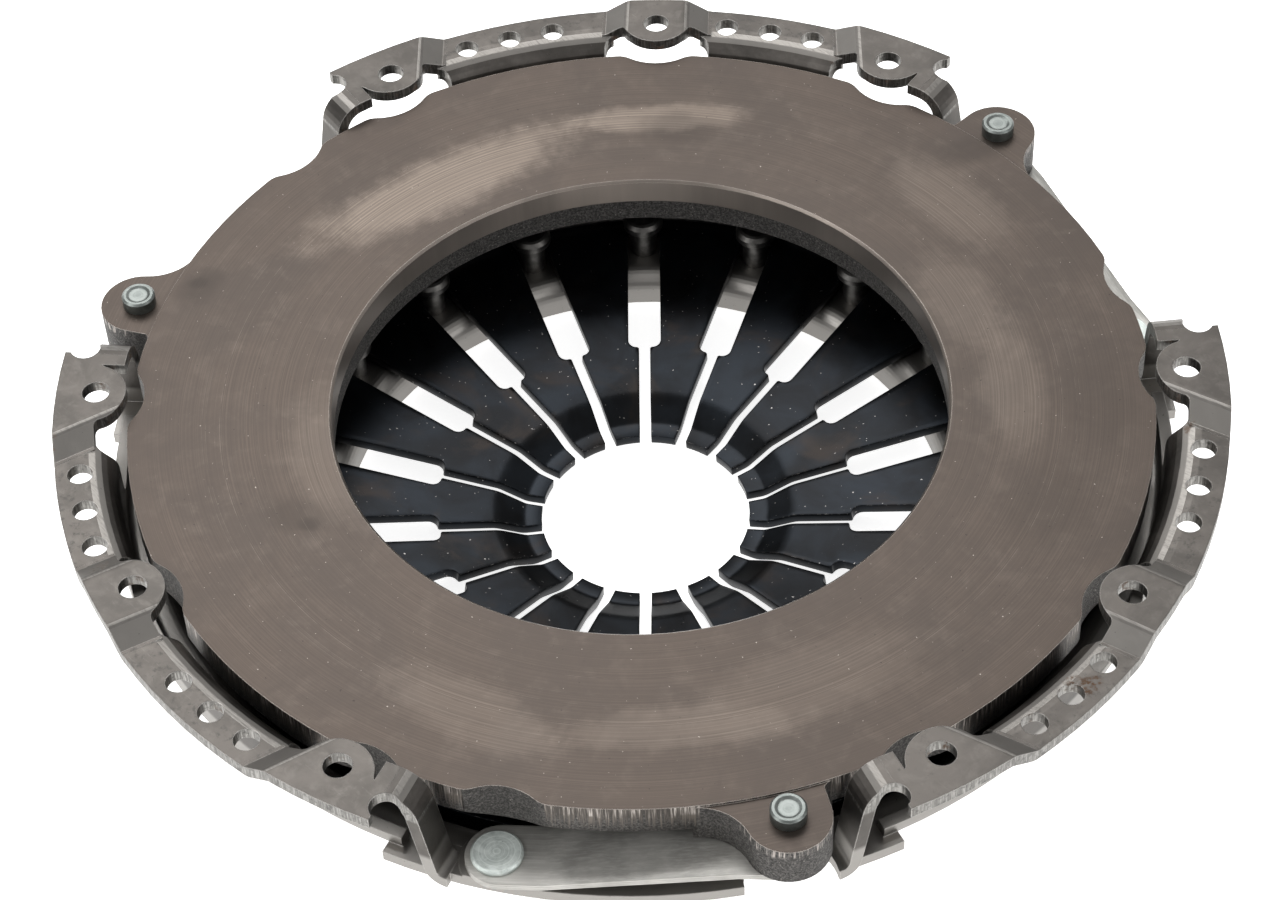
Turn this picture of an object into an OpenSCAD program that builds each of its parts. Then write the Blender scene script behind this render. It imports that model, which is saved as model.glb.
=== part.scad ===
// Clutch pressure plate assembly: pressed cover, diaphragm spring on a riveted fulcrum,
// and a cast pressure plate that hangs on three packs of leaf straps.
// The axis is Z, the friction face looks up, and z = 0 is the face of the bolting pads.

/* [Cover] */
// Thickness of the pressed steel sheet
sheet_t = 5; // [4:0.25:6]
// Width of the bolting flange outside the skirt
flange_w = 19; // [17:0.5:21]
// Height of the bolting pads above the rest of the flange
pad_rise = 5.7; // [4:0.1:7]
// Angle of the slopes at the sides of a pad
ramp_angle = 30; // [26:1:34]
// Half the flat width of a middle pad
pad_half = 11.2; // [10:0.1:13]
// Radius of the round tab around a bolt hole
tab_r = 15; // [13.5:0.5:16]
// Radius of the fillets at a tab's roots
root_r = 3; // [2:0.5:4]
// Distance from a segment's middle line to the foot of its end ramps
end_foot = 86.5; // [85:0.5:88]
// Radial gap between the pressure plate and the skirt around it
skirt_gap = 4.5; // [3.5:0.25:6]
// Half the width of the skirt window under a middle pad
window_half = 23; // [21:0.5:24]
// Height of the sill left below each skirt window
window_sill = 5.5; // [4:0.5:9]
// Radial gap between the spring's edge and the dome wall around it
wall_gap = 8; // [6:0.5:10]
// Inner radius of the bend between flange and skirt
skirt_bend_r = 8; // [5:0.5:9]
// Inner radius of the small bends along the sheet
bend_r = 3; // [2:0.5:4]
// Inner radius of the bend between dome wall and back
dome_bend_r = 12; // [8:1:13]
// Distance from the rivet circle in to the turned-down collar
collar_inset = 18.5; // [16:0.5:22]
// Depth of the collar's lower edge below the pads
collar_depth = 82; // [80:0.5:84]

/* [Bolting] */
// Distance from the flange's edge in to the bolt circle
bolt_inset = 16; // [15:0.25:17]
// Diameter of a bolt hole
bolt_hole_d = 11; // [9:0.5:13]
// Angle between the middle hole and each end hole of a flange segment
end_hole_angle = 30; // [29:0.25:31]
// Angle of the middle hole from the middle of its segment
middle_hole_angle = -2; // [-3:0.5:3]
// Distance from the flange's edge in to the circle of balancing holes
balance_inset = 9.8; // [8.8:0.2:11]
// Diameter of a balancing hole
balance_hole_d = 10; // [7:0.5:11]
// Angle from the middle of a segment to its end bends
segment_half_angle = 35.6; // [35:0.1:36]

/* [Pressure plate] */
// Outer radius of the friction face
plate_r = 204.5; // [202:0.5:206]
// Radius of the plate's bore
bore_r = 123.3; // [115:0.5:128]
// Depth of the friction face below the pads
face_drop = 7.6; // [6:0.2:9]
// Thickness of the plate at its rim and at the lugs
rim_t = 18.9; // [17:0.1:20]
// Chamfer around the rim's lower edge
rim_chamfer = 5.5; // [2:0.5:6.5]
// Thickness of the plate beside its bore
hub_t = 24; // [21:0.5:26]
// Distance from the spring's edge in to the ridge that bears on it
ridge_inset = 6; // [4:0.5:8]
// Radius of the ridge's crest
crest_r = 4; // [3:0.5:5]
// Depth of a notch in the rim
notch_depth = 5.4; // [4:0.2:6]
// Radius of a notch
notch_r = 22; // [18:1:26]
// Radius of a lug's end
lug_r = 16; // [15:0.5:17]
// Distance from the face's edge out to the axis of a lug's pin
lug_reach = 10.1; // [9:0.1:11]
// Angle from the middle of a gap to its lug
lug_angle = 14.3; // [13.5:0.1:15]
// Width of the cooling grooves across the ridge
groove_w = 14; // [10:1:18]

/* [Diaphragm spring] */
// Number of fingers
fingers = 18; // [18:18]
// Thickness of the spring
spring_t = 4.4; // [3.8:0.1:5]
// Distance from the plate's edge in to the spring's edge
spring_inset = 18.5; // [16:0.5:20]
// Radius of the circle through the finger tips
tip_r = 43.3; // [40:0.5:46]
// Depth of the spring's middle surface at the fulcrum
spring_depth = 59.5; // [58:0.5:61]
// Cone angle of the spring as delivered
cone_angle = 10.6; // [9:0.2:12]
// Width of the slit between two fingers
slit_w = 4.8; // [3:0.2:6]
// Width of the window at a slit's root
window_w = 14; // [13:0.25:15]
// Radius at which the windows begin
window_start_r = 86; // [80:1:95]

/* [Fulcrum] */
// Distance from the ridge in to the circle of fulcrum rivets
rivet_inset = 36.5; // [35:0.5:38]
// Radius of a rivet's neck
neck_r = 5.7; // [5:0.1:6]
// Radius of a rivet's head
head_r = 8.6; // [8:0.1:9]
// Height of a rivet's head
head_h = 5; // [4:0.25:6]
// Diameter of the two wire rings
wire_d = 5; // [4:0.25:5.5]

/* [Straps] */
// Distance between the rivets of a strap
strap_length = 106.3; // [103:0.1:108]
// How much nearer to the axis than the pin the cover's end of a strap is riveted
strap_slant = 6.1; // [4:0.1:8]
// Width of a strap leaf
strap_w = 26.6; // [24:0.2:28]
// Distance from a strap's rivet to its end
strap_end = 12; // [11:0.25:13]
// Thickness of one leaf
leaf_t = 1; // [0.8:0.1:1.3]
// Rise of a strap from the cover to the lug
strap_rise = 11; // [9:0.2:12]
// Height of the raised seat under a strap's cover end
seat_h = 1; // [0.5:0.25:2]
// Diameter of the strap rivets' shanks
strap_rivet_d = 12; // [10:0.5:13]
// Diameter of a strap rivet's head on the cover
strap_head_d = 19.6; // [18:0.2:21]
// Height of a strap rivet's head
strap_head_h = 2; // [1.6:0.1:3]
// Diameter of the pin head on a lug
pin_head_d = 13.6; // [12.6:0.2:15]
// Height of the pin head above a lug
pin_head_h = 5.4; // [4:0.2:6]

/* [Hidden] */
$fn = 96;
leaves = 3;
SEGMENTS = [90, 210, 330];
GAPS = [150, 270, 30];

// Clearances
fit = 0.1;
seat_gap = 0.3;
groove_gap = 5;
lug_step = 1;
// Step between shapes that are fused, so that no two of their faces nearly coincide
lap = 0.05;

// Heights, all below the pads
face_z = -face_drop;
lug_top_z = face_z - lug_step;
rim_z = face_z - rim_t;
hub_z = face_z - hub_t;
stack_t = leaves * leaf_t;
seat_z = rim_z - stack_t - strap_rise;
shelf_z = seat_z - seat_h;

// Radii that follow from the plate's size
skirt_r = plate_r + skirt_gap;
flange_r = skirt_r + sheet_t + flange_w;
bolt_r = flange_r - bolt_inset;
balance_r = flange_r - balance_inset;
spring_r = plate_r - spring_inset;
ridge_r = spring_r - ridge_inset;
rivet_circle_r = ridge_r - rivet_inset;
collar_r = rivet_circle_r - collar_inset;
wall_r = spring_r + wall_gap;

// Fulcrum: the wires lie on both faces of the cone, just outside the rivets' necks
fulcrum_r = rivet_circle_r + neck_r + seat_gap + wire_d / 2;
wire_offset = (spring_t / 2 + wire_d / 2 + fit) / cos(cone_angle);
front_wire_z = -spring_depth + wire_offset;
rear_wire_z = -spring_depth - wire_offset;
head_z = front_wire_z + wire_d / 2 + fit;
back_z = rear_wire_z - wire_d / 2 - fit;
crest_z = -spring_depth + (ridge_r - fulcrum_r) * tan(cone_angle)
    + (spring_t / 2 + crest_r + seat_gap) / cos(cone_angle);

// Bends of the cover, on the middle of the sheet
mid_bend = bend_r + sheet_t / 2;
skirt_bend = skirt_bend_r + sheet_t / 2;
dome_bend = dome_bend_r + sheet_t / 2;
collar_bend = 4 + sheet_t / 2;

// Pads, windows and ledges of the cover
window_z = shelf_z + window_sill;
window_lead = 3.5;
window_end_angle = 34;
arch_r = 5;
pad_edge_r = skirt_r + 8;
tab_centre_r = bolt_r + 3;
ramp_r = 4;
slope = (pad_rise - lap - 2 * ramp_r * (1 - cos(ramp_angle))) / sin(ramp_angle);
ramp_length = 2 * ramp_r * sin(ramp_angle) + slope * cos(ramp_angle);
pad_foot = pad_half + ramp_length;
ledge_half_angle = 61.6 - segment_half_angle;
ledge_margin = 10;
relief_r = 6;

// Straps: each runs from its rivet on the cover to the pin on a lug
pin_r = plate_r + lug_reach;
strap_r = pin_r - strap_slant;
strap_angle = lug_angle - acos((pin_r * pin_r + strap_r * strap_r - strap_length * strap_length)
    / (2 * pin_r * strap_r));
strap_from = pin_r * [cos(lug_angle), sin(lug_angle)];
strap_to = strap_r * [cos(strap_angle), sin(strap_angle)];
strap_run = strap_to - strap_from;
tail_r = strap_rivet_d / 2 + 1.8;
ledge_r = strap_r + ledge_margin;
wall_outer = ledge_r + 2;
wall_inner = skirt_r - 1.5;

// Spring section, from the outer edge in to the tip
finger_bend = 17;
tip_angle = 4;
finger_drop = 9;
finger_bend_r = 14;
tip_bend_r = 8;
tip_run = 6;

// Stations [x, y, heading] along a strip made of runs [length, turn, radius]
function stations(runs, at, i = 0) =
    i == len(runs) ? [] :
    let (run = runs[i],
         h = at[2],
         x = at[0] + run[0] * cos(h),
         y = at[1] + run[0] * sin(h),
         n = run[1] == 0 ? 0 : max(2, round(abs(run[1]) / 11)),
         r = run[2] * sign(run[1]),
         bend = [for (k = [1:1:n]) let (a = h + run[1] * k / n)
             [x + r * (sin(a) - sin(h)), y - r * (cos(a) - cos(h)), a]],
         end = n == 0 ? [x, y, h] : bend[n - 1])
    concat([[x, y, h]], bend, stations(runs, end, i + 1));

// Outline of a strip of sheet that follows the runs on its middle surface
function strip(runs, start, t) =
    let (line = concat([start], stations(runs, start)),
         n = len(line))
    concat(
        [for (p = line) [p[0] - t / 2 * sin(p[2]), p[1] + t / 2 * cos(p[2])]],
        [for (i = [1:n]) let (p = line[n - i]) [p[0] + t / 2 * sin(p[2]), p[1] - t / 2 * cos(p[2])]]
    );

// Where two circles around a and b cross, on the left of the way from a to b
function crossing(a, ra, b, rb) =
    let (v = b - a,
         d = norm(v),
         x = (ra * ra - rb * rb + d * d) / (2 * d),
         y = sqrt(ra * ra - x * x))
    a + x * v / d + y * [-v[1], v[0]] / d;

module wedge(from, to, r) {
    steps = ceil((to - from) / 30);
    polygon(concat([[0, 0]], [for (i = [0:steps]) let (a = from + (to - from) * i / steps)
        r / cos(15) * [cos(a), sin(a)]]));
}

module ring(outer, inner) {
    difference() {
        circle(outer);
        circle(inner);
    }
}

// Turns a profile drawn in (along, up) so that it is drawn out along +x
module along_x(from, to) {
    translate([from, 0, 0])
        rotate([90, 0, 90])
            linear_extrude(to - from)
                children();
}

// Section through flange, bend, skirt and shelf, in (radius, height)
module skirt_section() {
    top = -pad_rise - sheet_t / 2;
    low = shelf_z - sheet_t / 2 + lap;
    mid = skirt_r + sheet_t / 2;
    polygon(strip([
        [flange_r - mid - skirt_bend, 90, skirt_bend],
        [top - low - skirt_bend - mid_bend, -90, mid_bend],
        [1, 0, 0]
    ], [flange_r, top, 180], sheet_t));
}

// Section through shelf, wall, back and collar, in (radius, height)
module dome_section() {
    low = shelf_z - sheet_t / 2;
    back = back_z - sheet_t / 2;
    mid = wall_r + sheet_t / 2;
    start = skirt_r + sheet_t / 2 - mid_bend;
    collar = collar_r + sheet_t / 2;
    polygon(strip([
        [start - mid - mid_bend, 90, mid_bend],
        [low - back - mid_bend - dome_bend, -90, dome_bend],
        [mid - dome_bend - collar - collar_bend, 90, collar_bend],
        [back + collar_depth - collar_bend, 0, 0]
    ], [start, low, 180], sheet_t));
}

// Plan of what stays where a window's side meets the pads' inner edge; turn is 1 at the side with the higher y
module arch_corner(edge, turn) {
    y = edge - turn * arch_r;
    x = sqrt(pow(pad_edge_r - lap - arch_r, 2) - y * y);
    difference() {
        polygon([[x, y], [x, edge + turn], [x + 3 * arch_r, edge + turn],
            [x, y] * (pad_edge_r + arch_r) / norm([x, y])]);
        translate([x, y])
            circle(arch_r);
    }
}

module window_plan(low, high) {
    difference() {
        intersection() {
            circle(pad_edge_r - lap);
            translate([flange_r / 2, low])
                square([flange_r / 2, high - low]);
        }
        arch_corner(low, -1);
        arch_corner(high, 1);
    }
}

// Outline of a window in the skirt, with rounded corners at its sill
module window_face(low, high) {
    corner = 7;
    translate([low, window_z + corner])
        square([high - low, -window_z]);
    translate([low + corner, window_z])
        square([high - low - 2 * corner, 2 * corner]);
    for (y = [low + corner, high - corner])
        translate([y, window_z + corner])
            circle(corner);
}

// Cut that opens the skirt between two sides, and frees the pad above it between its feet
module skirt_window(low, high, foot_low, foot_high) {
    intersection() {
        along_x(flange_r / 2, flange_r)
            window_face(low, high);
        translate([0, 0, window_z - 1])
            linear_extrude(2 - window_z)
                window_plan(low, high);
    }
    translate([0, 0, -pad_rise - 3 * sheet_t])
        linear_extrude(3 * sheet_t + pad_rise)
            intersection() {
                ring(flange_r + 8, pad_edge_r - 2 * lap);
                translate([flange_r / 2, foot_low])
                    square([flange_r, foot_high - foot_low]);
            }
}

// Section along the rim from the low flange up a slope to a pad, and down again where asked
module pad_profile(flat, down) {
    lead = 1;
    runs = [
        [lead, ramp_angle, ramp_r],
        [slope, -ramp_angle, ramp_r],
        [flat, -ramp_angle, ramp_r],
        [slope, ramp_angle, ramp_r],
        [lead, 0, 0]
    ];
    start = [-lead, lap - pad_rise - sheet_t / 2, 0];
    polygon(strip(down ? runs : [runs[0], runs[1], [flat, 0, 0]], start, sheet_t));
}

// Plan of the raised sheet around a bolt hole: a band outside the window, and a round tab that stands in from it
module pad_plan(angle) {
    centre = [tab_centre_r, 0];
    p = crossing([0, 0], pad_edge_r - root_r, centre, tab_r + root_r);
    intersection() {
        circle(flange_r + lap);
        union() {
            ring(flange_r + 20, pad_edge_r);
            rotate(angle) {
                translate(centre)
                    circle(tab_r);
                for (side = [0, 1])
                    mirror([0, side])
                        difference() {
                            polygon([p, p * (pad_edge_r + root_r) / norm(p), centre]);
                            translate(p)
                                circle(root_r);
                        }
            }
        }
    }
}

module middle_pad() {
    rotate(middle_hole_angle)
        intersection() {
            translate([0, -pad_foot, 0])
                along_x(skirt_r - tab_r, flange_r + 5)
                    pad_profile(2 * pad_half, true);
            translate([0, 0, -50])
                linear_extrude(60)
                    pad_plan(0);
        }
}

// Pad at the end of a segment, which runs on to the end wall
module end_pad() {
    intersection() {
        translate([0, end_foot, 0])
            along_x(flange_r / 2, flange_r + 5)
                pad_profile(80, false);
        translate([0, 0, -50])
            linear_extrude(60)
                intersection() {
                    union() {
                        pad_plan(end_hole_angle);
                        intersection() {
                            ring(flange_r, wall_inner);
                            wedge(window_end_angle, segment_half_angle + 1, flange_r);
                        }
                    }
                    wedge(15, segment_half_angle, flange_r + 20);
                }
    }
}

// Side wall from the end of a segment down to the strap ledge
module end_wall() {
    lean = 80;
    top_bend = 7.5 + sheet_t / 2;
    drop = -shelf_z - 3 * lap;
    wall = (drop - (top_bend + mid_bend) * (1 - cos(lean))) / sin(lean);
    rotate(segment_half_angle)
        along_x(wall_inner + lap, wall_outer)
            polygon(strip([
                [1, -lean, top_bend],
                [wall, lean, mid_bend],
                [1, 0, 0]
            ], [-1, -sheet_t / 2 - lap, 0], sheet_t));
}

// Flat ledge across a gap between two segments, with a raised seat for the strap
module ledge() {
    intersection() {
        union() {
            translate([0, 0, shelf_z - sheet_t - lap])
                cylinder(h = sheet_t, r = ledge_r + 10);
            rotate(strap_angle)
                translate([strap_r, 0, seat_z - sheet_t])
                    cylinder(h = sheet_t, r = strap_w / 2 + 1);
        }
        translate([0, 0, shelf_z - 2 * sheet_t])
            linear_extrude(3 * sheet_t)
                intersection() {
                    ring(ledge_r, skirt_r - 5.5);
                    wedge(-ledge_half_angle, ledge_half_angle, ledge_r + 20);
                }
    }
}

// Room for the lug rivet's tail as it travels
module lug_opening() {
    centre = pin_r + 4;
    open_r = lug_r + 1.5;
    rotate(lug_angle)
        translate([0, 0, shelf_z - 2 * sheet_t])
            linear_extrude(sheet_t * 3) {
                translate([centre, 0])
                    circle(open_r);
                translate([centre, -open_r])
                    square([20, 2 * open_r]);
            }
}

module segment() {
    difference() {
        rotate(-segment_half_angle)
            rotate_extrude(angle = 2 * segment_half_angle)
                skirt_section();
        rotate(middle_hole_angle)
            skirt_window(-window_half, window_half, 1 - pad_foot, pad_foot - 1);
        for (side = [0, 1])
            mirror([0, side, 0])
                skirt_window(end_foot - window_lead, flange_r * 0.7, end_foot + 1, flange_r);
    }
    middle_pad();
    for (side = [0, 1])
        mirror([0, side, 0]) {
            end_pad();
            end_wall();
        }
}

module cover() {
    color("dimgray")
        difference() {
            union() {
                rotate_extrude()
                    dome_section();
                for (a = SEGMENTS)
                    rotate(a)
                        segment();
                for (a = GAPS)
                    rotate(a)
                        ledge();
            }
            for (a = SEGMENTS, b = [middle_hole_angle, -end_hole_angle, end_hole_angle])
                rotate(a + b)
                    translate([bolt_r, 0, -20])
                        cylinder(h = 40, d = bolt_hole_d);
            for (a = SEGMENTS, b = [-20, -15, -10, 10, 15, 20])
                rotate(a + b)
                    translate([balance_r, 0, -25])
                        cylinder(h = 40, d = balance_hole_d);
            for (a = SEGMENTS, side = [-1, 1])
                rotate(a + side * segment_half_angle)
                    translate([wall_outer + relief_r - 1, side * relief_r / 2, -15])
                        cylinder(h = 20, r = relief_r);
            for (i = [0:fingers - 1])
                rotate(slot_angle(i))
                    translate([rivet_circle_r, 0, back_z - 2 * sheet_t])
                        cylinder(h = 3 * sheet_t, r = neck_r - 1 + fit);
            for (a = GAPS) {
                rotate(a)
                    lug_opening();
                rotate(a + strap_angle)
                    translate([strap_r, 0, shelf_z - 3 * sheet_t]) {
                        cylinder(h = 2 * sheet_t + seat_h, r = tail_r + 0.5);
                        cylinder(h = 4 * sheet_t, d = strap_rivet_d + 2 * fit);
                    }
            }
        }
}

function slot_angle(i) = 90 + i * 360 / fingers;

// Outline of the plate's rim, with notches and lugs
module rim_plan() {
    difference() {
        union() {
            circle(plate_r);
            for (a = GAPS)
                rotate(a + lug_angle)
                    lug_plan();
        }
        for (a = SEGMENTS, b = [middle_hole_angle, -end_hole_angle - 1, end_hole_angle + 1, 46])
            rotate(a + b)
                notch_plan();
    }
}

module notch_plan() {
    centre = [plate_r - notch_depth + notch_r, 0];
    corner_r = 9;
    corner = crossing([0, 0], plate_r - corner_r, centre, notch_r + corner_r);
    translate(centre)
        circle(notch_r);
    for (side = [0, 1])
        mirror([0, side])
            difference() {
                polygon([corner, corner * (plate_r + 3) / norm(corner), centre]);
                translate(corner)
                    circle(corner_r);
            }
}

module lug_plan() {
    centre = [pin_r, 0];
    wide = 20;
    tight = 5;
    translate(centre)
        circle(lug_r);
    translate([pin_r - 30, -lug_r])
        square([30, 2 * lug_r]);
    for (side = [0, 1]) {
        r = side == 0 ? tight : wide;
        p = crossing([0, 0], plate_r + r, centre, lug_r + r);
        mirror([0, side])
            difference() {
                polygon([p, p * (plate_r - 8) / norm(p), centre]);
                translate(p)
                    circle(r);
            }
    }
}

// Section of the ring without rim and lugs, in (radius, height)
module plate_section() {
    crest = [ridge_r, crest_z];
    foot = 5;
    polygon(concat(
        [[bore_r + 1, face_z], [bore_r, face_z - 1], [bore_r, face_z - 11.5],
         [bore_r + 0.8, face_z - 12.3], [bore_r + 0.8, hub_z + 2], [bore_r + 2.8, hub_z],
         [ridge_r - crest_r - foot, hub_z]],
        [for (a = [190:17:350]) crest + crest_r * [cos(a), sin(a)]],
        [[ridge_r + crest_r + foot, rim_z], [ridge_r + crest_r + foot + 2, face_z]]
    ));
}

// Chamfer around the rim's lower edge, which stops at the lugs
module rim_edge() {
    over = 1;
    difference() {
        rotate_extrude()
            polygon([[plate_r - rim_chamfer - over, rim_z - over], [plate_r + over, rim_z - over],
                [plate_r + over, rim_z + rim_chamfer + over]]);
        for (a = GAPS)
            rotate(a + lug_angle)
                translate([0, 0, rim_z - 2 * over])
                    linear_extrude(rim_chamfer + 4 * over)
                        lug_plan();
    }
}

module pressure_plate() {
    color("rosybrown")
        difference() {
            union() {
                rotate_extrude()
                    plate_section();
                translate([0, 0, rim_z])
                    linear_extrude(lug_top_z - rim_z)
                        difference() {
                            rim_plan();
                            circle(ridge_r);
                        }
                translate([0, 0, rim_z])
                    linear_extrude(face_z - rim_z)
                        intersection() {
                            difference() {
                                rim_plan();
                                circle(ridge_r);
                            }
                            circle(plate_r);
                        }
            }
            for (i = [0:fingers - 1])
                rotate(slot_angle(i))
                    translate([ridge_r - 20, -groove_w / 2, crest_z - crest_r - 1])
                        cube([40, groove_w, hub_z - groove_gap - crest_z + crest_r + 1]);
            rim_edge();
            for (a = GAPS)
                rotate(a + lug_angle)
                    translate([pin_r, 0, rim_z - 1])
                        cylinder(h = rim_t + 2, d = strap_rivet_d - 2 + 2 * fit);
        }
}

// Middle surface of the spring from its edge to the tips; the cone takes up what is left
module spring_section() {
    steep = cone_angle + finger_bend;
    drop_run = finger_drop * cos(steep);
    bend_run = finger_bend_r * (sin(steep) - sin(cone_angle));
    tip_bend_run = tip_bend_r * (sin(steep) - sin(tip_angle));
    inner = drop_run + bend_run + tip_bend_run + tip_run * cos(tip_angle);
    cone = (spring_r - tip_r - inner) / cos(cone_angle);
    edge_z = -spring_depth + (spring_r - fulcrum_r) * tan(cone_angle);
    polygon(strip([
        [cone, finger_bend, finger_bend_r],
        [finger_drop, tip_angle - steep, tip_bend_r],
        [tip_run, 0, 0]
    ], [spring_r, edge_z, 180 + cone_angle], spring_t));
}

module slot_plan() {
    outer = rivet_circle_r + neck_r + 1.3;
    half = window_w / 2;
    inner_corner = 4;
    end = outer - half;
    translate([0, -slit_w / 2])
        square([window_start_r + 1, slit_w]);
    translate([window_start_r + inner_corner, -half])
        square([end - window_start_r - inner_corner, window_w]);
    translate([window_start_r, inner_corner - half])
        square([2 * inner_corner, window_w - 2 * inner_corner]);
    for (side = [-1, 1])
        translate([window_start_r + inner_corner, side * (half - inner_corner)])
            circle(inner_corner);
    translate([end, 0])
        circle(half);
}

module diaphragm_spring() {
    color("darkslategray")
        difference() {
            rotate_extrude()
                spring_section();
            for (i = [0:fingers - 1])
                rotate(slot_angle(i))
                    translate([0, 0, -2 * spring_depth])
                        linear_extrude(2 * spring_depth)
                            slot_plan();
        }
}

module wire_ring(z) {
    rotate_extrude()
        translate([fulcrum_r, z])
            circle(d = wire_d, $fn = 32);
}

module front_fulcrum_ring() {
    color("silver")
        wire_ring(front_wire_z);
}

module rear_fulcrum_ring() {
    color("silver")
        wire_ring(rear_wire_z);
}

// Rivet with a rounded head, a neck through the spring and a tail closed on the cover's back
module fulcrum_rivet(i) {
    rim = 1.2;
    tail_z = back_z - sheet_t - fit;
    color("lightsteelblue")
        rotate(slot_angle(i - 1))
            translate([rivet_circle_r, 0, 0])
                rotate_extrude($fn = 48)
                    polygon([[0, tail_z - 4], [neck_r - 1.5, tail_z - 4], [neck_r + 1.8, tail_z - 2],
                        [neck_r + 1.8, tail_z], [neck_r - 1, tail_z], [neck_r - 1, back_z + fit],
                        [neck_r, back_z + fit], [neck_r, head_z], [head_r, head_z],
                        [head_r, head_z + head_h - rim * 2], [head_r - rim, head_z + head_h - rim * 0.5],
                        [head_r - 2 * rim, head_z + head_h], [0, head_z + head_h]]);
}

// One spring leaf: flat at both rivets, with a slope between them. It is drawn with its cover end at +x
module strap_leaf(s, i) {
    half = strap_length / 2;
    end = half + strap_end + 1;
    flat = strap_w / 2 + 4;
    base = seat_z + (leaves - i) * leaf_t;
    middle = (strap_from + strap_to) / 2;
    line = [[end, base], [half - flat, base], [flat - half, base + strap_rise], [-end, base + strap_rise]];
    profile = concat(line, [for (k = [3:-1:0]) line[k] + [0, leaf_t]]);
    color("gainsboro")
        rotate(GAPS[s - 1])
            translate([middle[0], middle[1], 0])
                rotate(atan2(strap_run[1], strap_run[0]))
                    difference() {
                        intersection() {
                            translate([0, strap_w / 2, 0])
                                rotate([90, 0, 0])
                                    linear_extrude(strap_w)
                                        polygon(profile);
                            translate([0, 0, seat_z - 10])
                                linear_extrude(40)
                                    leaf_plan();
                        }
                        for (side = [-1, 1])
                            translate([side * half, 0, seat_z - 10])
                                cylinder(h = 40, d = (side > 0 ? strap_rivet_d : strap_rivet_d - 2) + 2 * fit);
                    }
}

module leaf_plan() {
    end = strap_length / 2 + strap_end - strap_w / 2;
    translate([-end, -strap_w / 2])
        square([2 * end, strap_w]);
    for (side = [-1, 1])
        translate([side * end, 0])
            circle(strap_w / 2);
}

// Rivet that holds a strap pack on its seat in the cover
module strap_rivet(s) {
    top = seat_z + stack_t + fit;
    low = seat_z - sheet_t - fit;
    head = strap_head_d / 2;
    shank = strap_rivet_d / 2;
    color("gainsboro")
        rotate(GAPS[s - 1] + strap_angle)
            translate([strap_r, 0, 0])
                rotate_extrude($fn = 64)
                    polygon([[0, low - 4], [shank + 0.5, low - 4], [tail_r, low - 2.5], [tail_r, low],
                        [shank, low], [shank, top], [head, top], [head, top + strap_head_h - 0.8],
                        [head - 0.8, top + strap_head_h], [0, top + strap_head_h]]);
}

// Pin rivet through a lug and its strap pack, with a dished top
module lug_rivet(s) {
    top = lug_top_z + fit;
    low = rim_z - stack_t - fit;
    head = pin_head_d / 2;
    shank = strap_rivet_d / 2 - 1;
    color("gainsboro")
        rotate(GAPS[s - 1] + lug_angle)
            translate([pin_r, 0, 0])
                rotate_extrude($fn = 64)
                    polygon([[0, low - 3.5], [shank + 1.5, low - 3.5], [tail_r, low - 2.2], [tail_r, low],
                        [shank, low], [shank, top], [head, top], [head, top + pin_head_h - 0.8],
                        [head - 0.8, top + pin_head_h], [head - 1.8, top + pin_head_h],
                        [head - 3, top + pin_head_h - 0.6], [0, top + pin_head_h - 0.6]]);
}

cover();
pressure_plate();
diaphragm_spring();
front_fulcrum_ring();
rear_fulcrum_ring();
for (i = [1:fingers])
    fulcrum_rivet(i);
for (s = [1:3], i = [1:leaves])
    strap_leaf(s, i);
for (s = [1:3])
    strap_rivet(s);
for (s = [1:3])
    lug_rivet(s);
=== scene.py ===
import math

import bpy
import bmesh
from mathutils import Matrix, Vector


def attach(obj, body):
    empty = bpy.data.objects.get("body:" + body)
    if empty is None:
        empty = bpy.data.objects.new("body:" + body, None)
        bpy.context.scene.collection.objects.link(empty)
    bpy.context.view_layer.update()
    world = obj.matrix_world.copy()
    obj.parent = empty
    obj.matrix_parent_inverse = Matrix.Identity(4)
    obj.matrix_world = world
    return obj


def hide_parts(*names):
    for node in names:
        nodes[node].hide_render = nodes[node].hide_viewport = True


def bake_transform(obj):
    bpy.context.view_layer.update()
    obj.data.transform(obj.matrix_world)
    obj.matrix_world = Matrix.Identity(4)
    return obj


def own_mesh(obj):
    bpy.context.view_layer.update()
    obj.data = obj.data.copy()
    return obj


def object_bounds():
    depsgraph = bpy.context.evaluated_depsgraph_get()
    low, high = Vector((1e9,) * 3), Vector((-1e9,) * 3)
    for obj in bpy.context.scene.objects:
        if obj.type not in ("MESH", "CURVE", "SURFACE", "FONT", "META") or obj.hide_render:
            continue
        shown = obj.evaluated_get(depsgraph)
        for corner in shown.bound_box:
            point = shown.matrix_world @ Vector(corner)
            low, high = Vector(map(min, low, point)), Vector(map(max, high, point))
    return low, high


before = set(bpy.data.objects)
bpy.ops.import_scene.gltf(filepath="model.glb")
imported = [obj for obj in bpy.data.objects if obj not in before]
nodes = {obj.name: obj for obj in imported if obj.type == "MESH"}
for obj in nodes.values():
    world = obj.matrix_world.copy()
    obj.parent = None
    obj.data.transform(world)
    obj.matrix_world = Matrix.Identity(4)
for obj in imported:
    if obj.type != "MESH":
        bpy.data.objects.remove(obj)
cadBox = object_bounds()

# Clutch pressure plate on a pale table. Sizes below are millimetres, the scene is metres.
mm = 0.001
sceneRoot = bpy.context.scene
gapAngles = [150, 270, 30]        # middles of the three gaps in the cover, one strap pack in each


def turned(point, degrees):
    return Matrix.Rotation(math.radians(degrees), 3, "Z") @ Vector(point)


def addObject(name, mesh):
    obj = bpy.data.objects.new(name, mesh)
    sceneRoot.collection.objects.link(obj)
    return obj


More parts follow.
